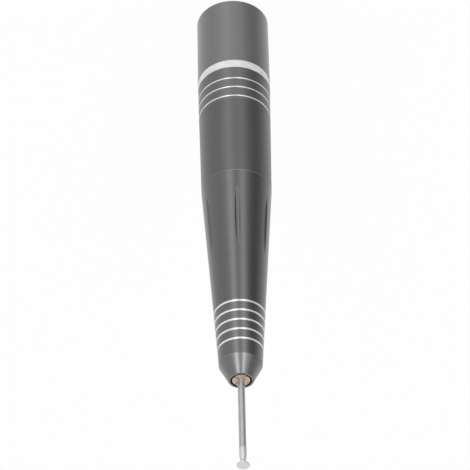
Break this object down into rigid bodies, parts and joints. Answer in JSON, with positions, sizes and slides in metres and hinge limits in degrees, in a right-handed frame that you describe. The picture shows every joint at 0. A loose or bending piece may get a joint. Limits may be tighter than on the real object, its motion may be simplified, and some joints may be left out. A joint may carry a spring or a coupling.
{
  "type": "electric engraving pen",
  "caption": "Cordless rotary engraving pen: turned tapered body with fluted grip, slotted collet and thin disc-headed bit, tail push switch, screw-off tail cap.",
  "frame": {"origin": "centre of the flat tail rim, at the bottom of the standing pen", "axes": "+Z along the pen from the tail rim to the tip of the bit; -Y is the side that faces the camera, with a flute on it; +X to the right seen from there"},
  "size_m": [0.0262, 0.0262, 0.1984],
  "materials": {
    "satin_cap": "satin anodised",
    "bare_metal": "turned, bare",
    "dark_anodised": "satin anodised dark grey with bright cut grooves",
    "nose_metal": "turned, semi-gloss",
    "tool_steel": "ground",
    "spring_steel": "drawn wire",
    "motor_steel": "plated",
    "bearing_steel": "ground and polished",
    "collet_copper": "copper-coloured, turned",
    "brass": "turned",
    "copper_wire": "enamelled",
    "black_rubber": "matt",
    "black_plastic": "moulded",
    "white_plastic": "moulded",
    "board_green": "solder resist",
    "cell_wrap": "shrunk film",
    "cell_foil": "wound foil",
    "magnet": "ferrite",
    "core_iron": "stacked sheets",
    "red_wire": "insulated"
  },
  "bodies": {
    "barrel": {"thread_collar": "bare_metal", "o_ring": "black_rubber", "barrel": "dark_anodised", "cell_liner": "black_plastic", "front_grip": "dark_anodised", "board_ring": "brass", "driver_board": "board_green", "driver_parts": "black_plastic", "positive_contact": "brass", "motor_ring": "brass", "motor_carrier": "black_plastic", "motor_screws": "motor_steel", "motor_can": "motor_steel", "motor_end_bell": "white_plastic", "motor_rear_bush": "brass", "motor_front_bush": "brass", "motor_magnets": "magnet", "motor_brushes": "copper_wire", "motor_terminals": "brass", "motor_leads": "red_wire", "rear_bearing_outer": "bearing_steel", "front_bearing_outer": "bearing_steel", "bearing_circlip": "spring_steel", "preload_washer": "spring_steel", "nose_cap": "nose_metal", "nose_seal": "black_rubber"},
    "battery": {"cell_can": "motor_steel", "cell_roll": "cell_foil", "cell_wrap": "cell_wrap", "cell_gasket": "white_plastic", "cell_terminal": "motor_steel"},
    "tail_cap": {"tail_cap": "satin_cap", "button_seal": "black_rubber", "button_spring": "spring_steel", "switch_housing": "black_plastic", "switch_core": "black_plastic", "switch_board": "board_green", "switch_ring": "brass", "battery_spring": "spring_steel"},
    "switch_button": {"switch_button": "black_rubber", "switch_plunger": "white_plastic"},
    "spindle": {"motor_shaft": "tool_steel", "commutator": "copper_wire", "armature_core": "core_iron", "armature_windings": "copper_wire", "shaft_coupling": "bare_metal", "coupling_screws": "tool_steel", "spindle": "tool_steel", "rear_bearing_inner": "bearing_steel", "front_bearing_inner": "bearing_steel", "spindle_nut": "tool_steel", "collet": "collet_copper"},
    "bit": {"engraving_bit": "tool_steel"},
    "rear_balls": {"rear_bearing_balls": "bearing_steel", "rear_bearing_cage": "brass"},
    "front_balls": {"front_bearing_balls": "bearing_steel", "front_bearing_cage": "brass"}
  },
  "joints": [
    {"name": "battery_slide", "type": "slide", "parent": "barrel", "child": "battery", "axis": [0, 0, -1], "range_m": [0, 0.009]},
    {"name": "tail_cap_turn", "type": "hinge", "parent": "battery", "child": "tail_cap", "pos_m": [0, 0, 0.02], "axis": [0, 0, -1], "range_deg": [0, 2161]},
    {"name": "switch_press", "type": "slide", "parent": "tail_cap", "child": "switch_button", "axis": [0, 0, 1], "range_m": [0, 0.0015], "stiffness_N_per_m": 800, "springref_m": -0.0005, "deforming": ["button_spring"]},
    {"name": "spindle_spin", "type": "hinge", "parent": "barrel", "child": "spindle", "pos_m": [0, 0, 0.145], "axis": [0, 0, 1], "continuous": true},
    {"name": "rear_balls_roll", "type": "hinge", "parent": "barrel", "child": "rear_balls", "pos_m": [0, 0, 0.1365], "axis": [0, 0, 1], "continuous": true},
    {"name": "front_balls_roll", "type": "hinge", "parent": "barrel", "child": "front_balls", "pos_m": [0, 0, 0.1525], "axis": [0, 0, 1], "continuous": true},
    {"name": "bit_pull", "type": "slide", "parent": "spindle", "child": "bit", "axis": [0, 0, 1], "range_m": [0, 0.012]}
  ],
  "couplings": [
    {"joint": "tail_cap_turn", "follows": "battery_slide", "rad_per_m": 4188.8},
    {"joint": "rear_balls_roll", "follows": "spindle_spin", "ratio": 0.40125},
    {"joint": "front_balls_roll", "follows": "spindle_spin", "ratio": 0.40125}
  ]
}
